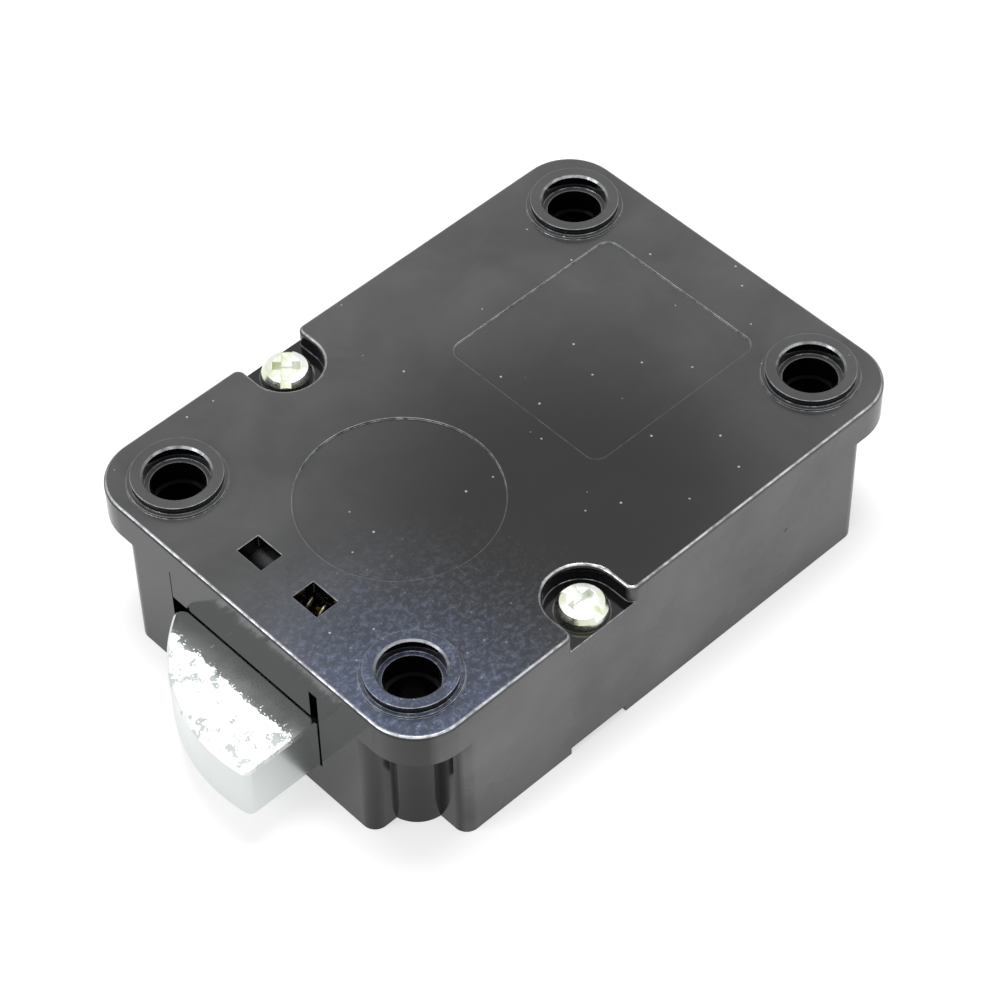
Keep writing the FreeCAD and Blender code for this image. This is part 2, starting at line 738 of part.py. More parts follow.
# The bolt's plan: a flat near side tangent to the hub, the reach arc, and the far edge
def bolt_outline(sketch):
    reach = driving_sizes["bolt_reach"]
    hub = driving_sizes["hub_radius"]
    edge = driving_sizes["bolt_edge_turn"]
    here = FreeCAD.Vector
    spin = FreeCAD.Rotation(here(0, 0, 1), edge)
    far_tip = spin.multVec(here(reach, 0, 0))
    far_hub = spin.multVec(here(hub, 0, 0))
    near_tip = here(-((reach * reach - hub * hub) ** 0.5), -hub, 0)
    near_hub = here(0, -hub, 0)
    reach_mid = FreeCAD.Rotation(here(0, 0, 1), (edge + 193) / 2).multVec(here(reach, 0, 0))
    sketch.addGeometry(Part.LineSegment(near_hub, near_tip), False)
    sketch.addGeometry(Part.Arc(far_tip, reach_mid, near_tip), False)
    sketch.addGeometry(Part.LineSegment(far_tip, far_hub), False)
    sketch.addGeometry(Part.Arc(near_hub, here(hub, 0, 0), far_hub), False)
    constraints = [
        Sketcher.Constraint("Coincident", 1, 3, -1, 1),
        Sketcher.Constraint("Coincident", 3, 3, -1, 1),
        Sketcher.Constraint("Coincident", 0, 2, 1, 2),
        Sketcher.Constraint("Coincident", 1, 1, 2, 1),
        Sketcher.Constraint("Coincident", 2, 2, 3, 2),
        Sketcher.Constraint("Coincident", 3, 1, 0, 1),
        Sketcher.Constraint("PointOnObject", 0, 1, -2),
        Sketcher.Constraint("Horizontal", 0),
        Sketcher.Constraint("PointOnObject", -1, 1, 2),
    ]
    for constraint in constraints:
        sketch.addConstraint(constraint)
    for curve, alias, value in ((1, "bolt_reach", reach), (3, "hub_radius", hub)):
        held = sketch.addConstraint(Sketcher.Constraint("Radius", curve, value))
        tie(sketch, "Constraints[%d]" % held, alias)
    held = sketch.addConstraint(Sketcher.Constraint("DistanceX", -1, 1, 2, 1, far_tip.x))
    tie(sketch, "Constraints[%d]" % held, "bolt_reach * cos(bolt_edge_turn * 1 deg)")


def upright_edges(shape, reach):
    names = []
    for number, edge in enumerate(shape.Edges, start=1):
        box = edge.BoundBox
        upright = box.XLength < 0.001 and box.YLength < 0.001
        if upright and abs((box.Center.x ** 2 + box.Center.y ** 2) ** 0.5 - reach) < 0.01:
            names.append("Edge%d" % number)
    return names


# The edges round the bolt's thrown end, top and bottom
def rim_edges(shape, reach, thickness):
    names = []
    for number, edge in enumerate(shape.Edges, start=1):
        box = edge.BoundBox
        level = box.ZLength < 0.001 and (abs(box.ZMin) < 0.001 or abs(box.ZMin - thickness) < 0.001)
        middle = edge.CenterOfMass
        if level and (middle.x ** 2 + middle.y ** 2) ** 0.5 > 0.8 * reach:
            names.append("Edge%d" % number)
    return names


def make_pivot_and_magnet():
    screw = turned("pivot_screw", [
        ("0", "channel_deep + pivot_end_cover"),
        ("pivot_thread", "channel_deep + pivot_end_cover"),
        ("pivot_thread", "hub_low"),
        ("pivot_radius", "hub_low"),
        ("pivot_radius", "bolt_top + slip_gap"),
        ("pivot_head", "bolt_top + slip_gap"),
        ("pivot_head", "bolt_top + slip_gap + pivot_head_rise * 0.75"),
        ("pivot_head * 0.85", "bolt_top + slip_gap + pivot_head_rise"),
        ("0", "bolt_top + slip_gap + pivot_head_rise"),
    ])
    put(screw, "pivot_x", "pivot_y", "0")
    slot = block("pivot_slot", ("pivot_x - pivot_head", "pivot_x + pivot_head"),
                 ("pivot_y - pivot_slot / 2", "pivot_y + pivot_slot / 2"),
                 ("bolt_top + slip_gap + pivot_head_rise / 2", "bolt_top + slip_gap + 2 * pivot_head_rise"))
    finish_piece(cut("bolt_pivot_screw", screw, [slot]), "bolt_pivot_screw")
    magnet = rod("bolt_magnet", "magnet_x", "magnet_y", ("bolt_low", "bolt_low + magnet_tall"),
                 "magnet_radius")
    finish_piece(magnet, "bolt_magnet")


# How steeply a wound wire climbs, in degrees
def wound_slope(pitch, radius):
    return "atan(%s / (2 * pi * %s)) / 1 deg" % (pitch, radius)


# A round wire wound along its own Z, and placed after that
def coil(name, radius, pitch, turns, wire):
    helix = doc.addObject("Part::Helix", name + "_line")
    tie(helix, "Radius", radius)
    tie(helix, "Pitch", pitch)
    tie(helix, "Height", "%s * %s" % (pitch, turns))
    section = doc.addObject("Part::Circle", name + "_section")
    tie(section, "Radius", "%s / 2" % wire)
    turn(section, (1, 0, 0), "%s - 90" % wound_slope(pitch, radius))
    tie(section, "Placement.Base.x", radius)
    sweep = doc.addObject("Part::Sweep", name + "_wire")
    sweep.Sections = [section]
    sweep.Spine = (helix, ["Edge1"])
    sweep.Solid = True
    sweep.Frenet = True
    return sweep


# The bolt's return spring, wound round the pedestal, with a leg to the peg and a leg to the wall
def make_return_spring():
    leg_fall = "return_leg * return_climb / (2 * pi * return_middle)"
    low = "floor_thick + return_wire / 2 + fit_gap + " + leg_fall
    wound = coil("return_spring", "return_middle", "return_climb", "return_turns", "return_wire")
    turn(wound, (0, 0, 1), "90")
    put(wound, "pivot_x", "pivot_y", low)
    rise = "return_climb * return_turns"
    slope = wound_slope("return_climb", "return_middle")
    legs = []
    for name, z, lean in (("low", low, "90 + " + slope), ("high", "%s + %s" % (low, rise), slope + " - 90")):
        leg = doc.addObject("Part::Cylinder", "return_leg_" + name)
        tie(leg, "Radius", "return_wire / 2")
        tie(leg, "Height", "return_leg")
        turn(leg, (0, 1, 0), lean)
        legs.append(put(leg, "pivot_x", "pivot_y + return_middle", z))
    finish_piece(join("bolt_return_spring", [wound] + legs), "bolt_return_spring")


# The slide that blocks the bolt: nose under the coil, upright wall, and boss that holds the coil
def make_slide():
    pieces = [
        block("slide_nose_block", ("nose_left", "nose_right"), ("wall_near - slide_nose", "wall_far"),
              ("slide_low", "slide_top")),
        block("slide_foot", ("nose_left", "nose_right"), ("wall_near", "wall_far"),
              ("slide_low", "arm_low + run_gap")),
        block("slide_upright", ("drive_x - slide_wide_half", "drive_x + slide_wide_half"),
              ("wall_near", "wall_far"),
              ("arm_low", "cover_under - run_gap")),
        rod_along("slide_boss", "drive_x", "drive_z", ("boss_near", "wall_far"),
                  "coil_middle - coil_wire / 2 - fit_gap"),
    ]
    bore = rod_along("slide_bore", "drive_x", "drive_z", ("boss_near - lap", "wall_far + lap"),
                     "shaft_radius + run_gap")
    finish_piece(cut("blocking_slide", join("slide_solid", pieces), [bore]), "blocking_slide")
    wound = coil("drive_coil", "coil_middle", "coil_pitch", "coil_turns", "coil_wire")
    turn(wound, (1, 0, 0), "90")
    put(wound, "drive_x", "coil_start", "drive_z")
    finish_piece(wound, "drive_spring")


# The motor's can and cap with its ring magnet, the wound core on the shaft, and the collar, whose
# finger runs between the coil's turns
def make_motor():
    shell = turned("motor_can", [
        ("0", "motor_long - motor_back_wall"),
        ("0", "motor_long"),
        ("motor_radius - motor_round", "motor_long"),
        ("motor_radius", "motor_long - motor_round"),
        ("motor_radius", "0"),
        ("shaft_radius + fit_gap", "0"),
        ("shaft_radius + fit_gap", "motor_front_wall"),
        ("can_inside", "motor_front_wall"),
        ("can_inside", "motor_long - motor_back_wall"),
    ])
    ring = turned("motor_magnet", [
        ("can_inside - field_wall", "field_from_front"),
        ("can_inside", "field_from_front"),
        ("can_inside", "field_end"),
        ("can_inside - field_wall", "field_end"),
    ])
    core = turned("motor_armature", [
        ("shaft_radius", "field_from_front"),
        ("can_inside - field_wall - air_gap", "field_from_front"),
        ("can_inside - field_wall - air_gap", "field_end"),
        ("commutator_radius", "field_end"),
        ("commutator_radius", "field_end + commutator_long"),
        ("shaft_radius", "field_end + commutator_long"),
    ])
    for piece, node in ((shell, "motor_can"), (ring, "motor_magnet"), (core, "motor_armature")):
        turn(piece, (1, 0, 0), "-90")
        put(piece, "drive_x", "motor_front", "drive_z")
        finish_piece(piece, node)
    cap = rod_along("motor_end_cap", "drive_x", "drive_z", ("motor_back", "cap_back"),
                    "motor_cap_radius")
    finish_piece(cap, "motor_end_cap")
    tab_y = ("cap_back", "cap_back + terminal_long")
    tabs = [
        block("terminal_left", ("drive_x - terminal_outer", "drive_x - terminal_inner"), tab_y,
              ("drive_z - terminal_step", "drive_z + terminal_rise")),
        block("terminal_right", ("drive_x + terminal_inner", "drive_x + terminal_outer"), tab_y,
              ("drive_z - terminal_drop", "drive_z + terminal_step")),
    ]
    finish_piece(group("motor_terminals", tabs), "motor_terminals")
    shaft = rod_along("motor_shaft", "drive_x", "drive_z",
                      ("shaft_end", "motor_back - motor_back_wall - fit_gap"),
                      "shaft_radius")
    finish_piece(shaft, "motor_shaft")
    tube = turned("collar_tube", [
        ("shaft_radius", "0"),
        ("collar_radius", "0"),
        ("collar_radius", "collar_long"),
        ("shaft_radius", "collar_long"),
    ])
    turn(tube, (1, 0, 0), "-90")
    put(tube, "drive_x", "shaft_end", "drive_z")
    finger = doc.addObject("Part::Cylinder", "collar_finger")
    tie(finger, "Radius", "finger_radius")
    tie(finger, "Height", "coil_middle + coil_wire / 2 - finger_start")
    turn_here = "90 - (360 * (coil_start - finger_y) / coil_pitch + 180)"
    turn(finger, (0, 1, 0), turn_here)
    put(finger, "drive_x + finger_start * sin((%s) * 1 deg)" % turn_here, "finger_y",
        "drive_z + finger_start * cos((%s) * 1 deg)" % turn_here)
    finish_piece(join("drive_collar", [tube, finger]), "drive_collar")


# The moulded cradle: trough for the motor, arms that guide the slide, and a foot on two posts
def make_cradle():
    inner = "(motor_radius + fit_gap)"
    outer = "(motor_radius + fit_gap + cradle_side)"
    low = "(drive_z - motor_radius - fit_gap)"
    arm_in = "(slide_wide_half + run_gap)"
    pieces = [
        block("trough", ("drive_x - " + outer, "drive_x + " + outer), ("motor_front", "cap_back"),
              ("cradle_low", "cradle_rim")),
        block("foot_link", ("drive_x + motor_radius", "post_left"), ("motor_back - foot_lap", "cap_back"),
              ("cradle_low", "foot_top")),
        block("foot", ("post_left - post_radius", "post_right + post_radius"),
              ("motor_back - lap", "post_y + post_radius"), ("cradle_low", "foot_top")),
        block("arm_left", ("drive_x - " + outer, "drive_x - " + arm_in),
              ("motor_front - cradle_reach", "motor_front"),
              ("arm_low", "cradle_rim")),
        block("arm_right", ("drive_x + " + arm_in, "drive_x + " + outer),
              ("motor_front - cradle_reach", "motor_front"),
              ("arm_low", "cradle_rim")),
    ]
    tools = [
        block("trough_cut", ("drive_x - " + inner, "drive_x + " + inner),
              ("motor_front - lap", "cap_back + lap"),
              (low, "cradle_rim + lap")),
    ]
    for name, x in (("left", "post_left"), ("right", "post_right")):
        tools.append(rod("foot_hole_" + name, x, "post_y", ("cradle_low - lap", "foot_top + lap"),
                         "small_screw + slip_gap"))
    finish_piece(cut("motor_cradle", join("cradle_solid", pieces), tools), "motor_cradle")


def small_screw(name, x, y, z):
    body = turned(name, [
        ("0", "-small_long"),
        ("small_screw", "-small_long"),
        ("small_screw", "0"),
        ("small_head", "0"),
        ("small_head", "small_head_rise * 0.6"),
        ("small_head * 0.7", "small_head_rise"),
        ("0", "small_head_rise"),
    ])
    return put(body, x, y, z + " + seat_gap")


def make_small_screws():
    cradle = [small_screw("cradle_screw_" + name, x, "post_y", "foot_top")
              for name, x in (("left", "post_left"), ("right", "post_right"))]
    finish_piece(group("cradle_screws", cradle), "cradle_screws")
    board = [small_screw("board_screw_%d" % number, x, y, "board_top")
             for number, (x, y) in enumerate(board_corners())]
    finish_piece(group("board_screws", board), "board_screws")


def make_board():
    board = flat_piece("board_blank", [
        ("board_left", "-board_half"),
        ("board_right", "-board_half"),
        ("board_right", "board_half"),
        ("board_left", "board_half"),
    ], "board_thick")
    put(board, "0", "0", "board_low")
    tools = [rod("board_hole_%d" % number, x, y, ("board_low - lap", "board_top + lap"),
                 "small_screw + slip_gap")
             for number, (x, y) in enumerate(board_corners())]
    finish_piece(cut("circuit_board", board, tools), "circuit_board")


# A small part on the board: its middle as a share of the board's length, its place across, and its size
chips = {
    "microcontroller": ("0.37", "-3", "7", "7", "1.4"),
    "memory_chip": ("0.69", "-9.5", "5", "4", "1.5"),
    "motor_driver_chip": ("0.304", "8", "5", "4", "1.5"),
    "voltage_regulator": ("0.826", "-4.2", "6.6", "6.2", "2.3"),
    "timing_crystal": ("0.43", "-10", "11", "4.6", "3.4"),
    "supply_diode": ("0.587", "9", "4.4", "2.6", "2.1"),
    "resistor_1": ("0.511", "2.5", "1.3", "2", "0.6"),
    "resistor_2": ("0.563", "2.5", "1.3", "2", "0.6"),
    "resistor_3": ("0.615", "2.5", "1.3", "2", "0.6"),
    "resistor_4": ("0.667", "2.5", "1.3", "2", "0.6"),
}


def make_chip(node, x, y, long_side, wide_side, tall):
    chip = block(node, ("%s - %s / 2" % (x, long_side), "%s + %s / 2" % (x, long_side)),
                 ("%s - %s / 2" % (y, wide_side), "%s + %s / 2" % (y, wide_side)),
                 ("board_top", "board_top + " + tall))
    finish_piece(chip, node)


def make_chips():
    for node, (share, y, long_side, wide_side, tall) in chips.items():
        make_chip(node, "board_left + %s * board_long" % share, y, long_side, wide_side, tall)
    make_chip("hall_sensor", "board_left + hall_inset", "hall_across", "hall_long", "hall_wide", "hall_tall")


# The reservoir capacitor: a can with a crimped waist, standing on the board
def make_capacitor():
    body = turned("reservoir_capacitor", [
        ("0", "0"),
        ("capacitor_radius - capacitor_bead", "0"),
        ("capacitor_radius", "capacitor_bead"),
        ("capacitor_radius", "capacitor_foot"),
        ("capacitor_radius - capacitor_bead", "capacitor_foot + capacitor_bead"),
        ("capacitor_radius", "capacitor_foot + 2 * capacitor_bead"),
        ("capacitor_radius", "capacitor_tall - capacitor_bead"),
        ("capacitor_radius - capacitor_bead", "capacitor_tall"),
        ("0", "capacitor_tall"),
    ])
    put(body, "board_left + capacitor_share * board_long", "capacitor_across", "board_top")
    finish_piece(body, "reservoir_capacitor")


# A socket shell on the board's left edge, open towards -X
def socket_shell(name, across, long_side, wide_side, tall):
    shell = block(name + "_block", ("socket_left", "socket_left + " + long_side),
                  ("%s - %s / 2" % (across, wide_side), "%s + %s / 2" % (across, wide_side)),
                  ("board_top", "board_top + " + tall))
    hollow = block(name + "_hollow", ("socket_left - lap", "socket_left + %s - socket_wall" % long_side),
                   ("%s - %s / 2 + socket_wall" % (across, wide_side),
                    "%s + %s / 2 - socket_wall" % (across, wide_side)),
                   ("board_top + socket_wall", "board_top + %s - socket_wall" % tall))
    return shell, hollow


def make_sockets():
    shell, hollow = socket_shell("keypad_shell", "keypad_y", "keypad_socket_long",
                                 "keypad_socket_wide", "keypad_socket_tall")
    finish_piece(cut("keypad_socket", shell, [hollow]), "keypad_socket")
    back = "socket_left + keypad_socket_long - socket_wall"
    middle = "board_top + keypad_socket_tall / 2"
    pins = []
    for number, step in enumerate(("-1.5", "-0.5", "0.5", "1.5")):
        y = "keypad_y + %s * keypad_pin_pitch" % step
        pins.append(block("keypad_pin_%d" % number, (back + " - 0.6 * keypad_socket_long", back),
                          (y + " - keypad_pin / 2", y + " + keypad_pin / 2"),
                          (middle + " - keypad_pin / 2", middle + " + keypad_pin / 2")))
    finish_piece(group("keypad_socket_pins", pins), "keypad_socket_pins")
    shell = socket_shell("motor_shell", "motor_socket_y", "motor_socket_long",
                         "motor_socket_wide", "motor_socket_tall")[0]
    finish_piece(shell, "motor_socket")


# Straight runs joined by tangent arcs, each as large as its two runs allow
def lead_path(points):
    edges = []
    start = points[0]
    for before, corner, after in zip(points, points[1:], points[2:]):
        back = before - corner
        ahead = after - corner
        bend = math.pi - back.getAngle(ahead)
        room = 0.45 * min(back.Length, ahead.Length)
        entering = FreeCAD.Vector(back).normalize()
        leaving = FreeCAD.Vector(ahead).normalize()
        inward = (entering + leaving).normalize()
        radius = room / math.tan(bend / 2)
        centre = corner + inward * (radius / math.cos(bend / 2))
        entry = corner + entering * room
        leave = corner + leaving * room
        edges.append(Part.LineSegment(start, entry).toShape())
        edges.append(Part.Arc(entry, centre - inward * radius, leave).toShape())
        start = leave
    edges.append(Part.LineSegment(start, points[-1]).toShape())
    return Part.Wire(edges)


# Each lead's corners, as shares of its way from the terminal to the socket along x, y and z
lead_corners = {
    "motor_lead_red": [(0, 0, 0), (0.26, 0, 0), (0.45, 0.37, 0.06), (0.65, 0.77, 0.3),
                       (0.82, 0.99, 0.77), (0.9, 1, 1), (1, 1, 1)],
    "motor_lead_black": [(0, 0, 0), (0.2, 0, 0), (0.42, 0.39, 0.07), (0.61, 0.8, 0.28),
                         (0.785, 0.98, 0.78), (0.88, 1, 1), (1, 1, 1)],
}


# The two leads from the motor's terminals to its socket
def make_leads():
    size = driving_sizes
    wire = size["lead_wire"]
    end = size["case_length"] / 2
    motor = FreeCAD.Vector(
        size["drive_from_end"] - end,
        size["motor_front"] + size["motor_long"] + size["motor_cap"] + wire / 2 + size["fit_gap"],
        size["seam_height"] - size["drive_under_seam"],
    )
    socket = FreeCAD.Vector(
        size["board_from_bolt_end"] - end + size["socket_inset"],
        size["hall_across"] + (size["hall_wide"] + size["motor_socket_wide"]) / 2 + size["part_gap"],
        size["board_low"] + size["board_thick"] + 0.6 * size["motor_socket_tall"],
    )
    apart = FreeCAD.Vector(0, size["lead_apart"] / 2, 0)
    starts = {
        "motor_lead_red": FreeCAD.Vector(-size["terminal_inner"], 0, size["lead_red_rise"]),
        "motor_lead_black": FreeCAD.Vector(size["terminal_outer"], 0, -size["lead_black_drop"]),
    }
    for node, side in (("motor_lead_red", 1), ("motor_lead_black", -1)):
        start = motor + starts[node]
        way = socket + apart * side - start
        points = [start + FreeCAD.Vector(way.x * x, way.y * y, way.z * z) for x, y, z in lead_corners[node]]
        ring = Part.Wire(Part.makeCircle(wire / 2, start, points[1] - start))
        lead = doc.addObject("Part::Feature", node)
        lead.Shape = lead_path(points).makePipeShell([ring], True, False)
        finish_piece(lead, node)


fill_sheet()
make_housing()
make_cover()
make_cover_screws()
make_bolt()
make_pivot_and_magnet()
make_return_spring()
make_slide()
make_motor()
make_cradle()
make_board()
make_small_screws()
make_chips()
make_capacitor()
make_sockets()
make_leads()
doc.recompute()

faults = [item.Name for item in doc.Objects if "Invalid" in item.State or "Error" in item.State]
for item in nodes:
    if item.Shape.isNull() or not item.Shape.isValid() or not item.Shape.Solids:
        faults.append(item.Label)
if faults:
    raise SystemExit("not built: , ".join(faults))
for item in nodes:
    item.Shape.exportStep("parts/%s.step" % item.Label)
    print(item.Label, len(item.Shape.Solids), round(item.Shape.Volume, 1))
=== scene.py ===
import bpy
import json
import math
from mathutils import Matrix, Vector

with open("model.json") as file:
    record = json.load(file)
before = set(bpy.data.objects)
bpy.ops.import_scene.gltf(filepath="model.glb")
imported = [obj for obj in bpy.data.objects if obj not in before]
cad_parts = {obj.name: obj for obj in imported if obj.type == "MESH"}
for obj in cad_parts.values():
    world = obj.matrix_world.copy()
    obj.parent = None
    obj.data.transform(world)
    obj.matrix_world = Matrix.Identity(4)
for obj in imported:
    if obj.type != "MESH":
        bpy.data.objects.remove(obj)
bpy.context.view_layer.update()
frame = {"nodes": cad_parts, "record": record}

mm = 0.001
nodes = frame["nodes"]
scene = bpy.context.scene
scene.view_settings.view_transform = "Standard"
print("frame loaded:", len(nodes), "nodes")


# Camera: the photograph's place, aim and roll
cameraSetup = {
    "place": (-185.1, -199.5, 326.2),    # mm, in the lock's own frame
    "azimuth": -42.87,
    "elevation": 49.39,
    "roll": -1.17,
    "lens": 121.05,
    "sensor": 36.0,
}


def makeCamera(setup):
    azimuth = math.radians(setup["azimuth"])
    elevation = math.radians(setup["elevation"])
    roll = math.radians(setup["roll"])
    back = Vector((
        math.sin(azimuth) * math.cos(elevation),
        -math.cos(azimuth) * math.cos(elevation),
        math.sin(elevation),
    ))
    level = (-back).cross(Vector((0, 0, 1))).normalized()
    upright = level.cross(-back)
    right = level * math.cos(roll) + upright * math.sin(roll)
    up = upright * math.cos(roll) - level * math.sin(roll)
    data = bpy.data.cameras.new("photoCamera")
    data.lens = setup["lens"]
    data.sensor_width = setup["sensor"]
    data.clip_start = 0.01
    data.clip_end = 20
    camera = bpy.data.objects.new("photoCamera", data)
    scene.collection.objects.link(camera)
    turn = Matrix((right, up, back)).transposed().to_4x4()
    camera.matrix_world = Matrix.Translation(Vector(setup["place"]) * mm) @ turn
    scene.camera = camera


makeCamera(cameraSetup)
print("camera placed")


# Materials
def toLinear(hexColour):
    channels = [int(hexColour[i:i + 2], 16) / 255 for i in (1, 3, 5)]
    return [c / 12.92 if c <= 0.04045 else ((c + 0.055) / 1.055) ** 2.4 for c in channels] + [1.0]


def addNode(tree, kind, inputs=None, **settings):
    # an input is a plain value, a socket, or a node that gives its first output in use
    node = tree.nodes.new(kind)
    for name, value in settings.items():
        setattr(node, name, value)
    for key, value in (inputs or {}).items():
        named = [socket for socket in node.inputs if socket.enabled and socket.name == key]
        socket = named[0] if named else node.inputs[key]
        if isinstance(value, bpy.types.Node):
            value = [output for output in value.outputs if output.enabled][0]
        if isinstance(value, bpy.types.NodeSocket):
            tree.links.new(value, socket)
        else:
            socket.default_value = value
    return node


def newMaterial(name):
    material = bpy.data.materials.new(name)
    material.use_nodes = True
    tree = material.node_tree
    tree.nodes.clear()
    place = addNode(tree, "ShaderNodeTexCoord").outputs["Object"]
    return material, tree, place


def perMetre(sizeMm):
    # a pattern's scale from the real size of one of its cells
    return 1000 / sizeMm


def edgeWearAndGlint(tree, place, radiusMm, handledAndGlintFrom, lowestMm):
    # 1 along edges and inner corners, 0 on flats, plus a painted highlight where the rounding tilts up to the
    # overhead lamp; fuller on the side towards the camera, as handling wear and painted highlight; none below
    # a height
    soft = addNode(tree, "ShaderNodeBevel", {"Radius": radiusMm * mm}, samples=8)
    flat = addNode(tree, "ShaderNodeNewGeometry").outputs["Normal"]
    dot = addNode(tree, "ShaderNodeVectorMath", {0: soft, 1: flat}, operation="DOT_PRODUCT").outputs["Value"]
    bent = addNode(tree, "ShaderNodeMapRange", {"Value": dot, "From Min": 0.97, "From Max": 0.76})
    upward = addNode(tree, "ShaderNodeSeparateXYZ", {0: flat}).outputs["Z"]
    rise = addNode(tree, "ShaderNodeMapRange", {"Value": upward, "From Min": 0.6, "From Max": 0.78})
    fall = addNode(tree, "ShaderNodeMapRange", {"Value": upward, "From Min": 0.985, "From Max": 0.95})
    # the upper part of each rounding, tilted towards the overhead lamp: a painted highlight
    tiltGlint = addNode(tree, "ShaderNodeMath", {0: rise, 1: fall}, operation="MULTIPLY")
    wearAndGlintLine = addNode(tree, "ShaderNodeMath", {0: bent, 1: tiltGlint}, operation="MAXIMUM")
    # edges turned towards the camera get fuller lines: handling wear there, and a painted highlight
    turned = addNode(tree, "ShaderNodeVectorMath", {0: soft, 1: handledAndGlintFrom}, operation="DOT_PRODUCT")
    side = addNode(tree, "ShaderNodeMapRange", {
        "Value": turned.outputs["Value"], "From Min": 0.3, "From Max": 0.85, "To Min": 0.2, "To Max": 1.0,
    })
    sided = addNode(tree, "ShaderNodeMath", {0: wearAndGlintLine, 1: side}, operation="MULTIPLY")
    height = addNode(tree, "ShaderNodeSeparateXYZ", {0: place}).outputs["Z"]
    reached = addNode(tree, "ShaderNodeMapRange", {
        "Value": height, "From Min": lowestMm * mm, "From Max": (lowestMm + 0.3) * mm,
    })
    return addNode(tree, "ShaderNodeMath", {0: sided, 1: reached}, operation="MULTIPLY")


def nearness(tree, place, spot):
    # 1 close to the spot's centre, fading to 0 at its reach
    centre = [value * mm for value in spot["centre"]]
    away = addNode(tree, "ShaderNodeVectorMath", {0: place, 1: centre}, operation="DISTANCE")
    return addNode(tree, "ShaderNodeMapRange", {
        "Value": away.outputs["Value"], "From Min": spot["reach"] * mm, "From Max": spot["full"] * mm,
    }, interpolation_type="SMOOTHSTEP")


def specks(tree, place, cellMm, dotMm, share):
    # round grains, one to a cell, on the given share of the cells
    cells = addNode(tree, "ShaderNodeTexVoronoi", {"Vector": place, "Scale": perMetre(cellMm)})
    radius = dotMm / cellMm
    grain = addNode(tree, "ShaderNodeMapRange", {
        "Value": cells.outputs["Distance"], "From Min": radius, "From Max": radius * 0.5,
    })
    lot = addNode(tree, "ShaderNodeSeparateColor", {"Color": cells.outputs["Color"]})
    picked = addNode(tree, "ShaderNodeMath", {0: lot, 1: share}, operation="LESS_THAN")
    return addNode(tree, "ShaderNodeMath", {0: grain, 1: picked}, operation="MULTIPLY")


# All places and pattern sizes are in mm, in the lock's own frame
lacquerLook = {
    "name": "bakedGlossBlackLacquer",
    "black": "#0b0b0d",
    "filmAndSheen": "#a6a7a6",           # dry grey dust, thin over the whole top, partly a painted reflection
    "blueFilmAndSheen": "#94a6d0",       # handled, cooler haze by the bolt end, partly a painted bluish reflection
    "grain": "#e6e9f0",
    "rubbedAndGlint": "#e9ebf0",         # bare bright zinc where edges are rubbed through, and painted edge highlights
    "pitShadeColour": "#000000",
    "roughness": 0.11,
    "dustyRoughness": 0.33,
    "ior": 1.49,
    "topFilmAndSheen": 0.19,
    "wipedAndDimSheenFilm": 0.01,
    "handledFilmAndSheen": 0.3,
    # grey painted on the near wall: a painted reflection of the pale floor
    "wallPaintedSheen": 0.3,
    "grainCover": 0.62,
    "handledAndSheen": {"centre": (-36.0, -24.0, 22.5), "full": 4, "reach": 32},
    # the clean middle, from the round place to the near screw: less dust, and a painted darker reflection
    "wipedAndDimSheen": {"centre": (-3.0, -15.0, 22.5), "full": 10, "reach": 42},
    # painted shade of a small casting pit on the near wall
    "pitShade": {"centre": (20.3, -29.5, 11.2), "full": 0.2, "reach": 0.5},
    # the side towards the camera, where edge lines are fuller: handling wear and painted highlight
    "handledAndGlintFrom": (-0.6, -0.65, 0.46),
    "topLevel": 21.2,
    "seamClear": 19.3,
    "nearWall": -29.0,
    "cloudSize": 13,
    "mottleSize": 0.9,
    "streakSize": 9,
    "peelSize": 1.6,
    "sagSize": 12,
    # width and breaks of the bright edge lines, which are rubbed wear and painted highlight
    "lineWidth": 0.32,
    "lineBreakSize": 1.1,
}


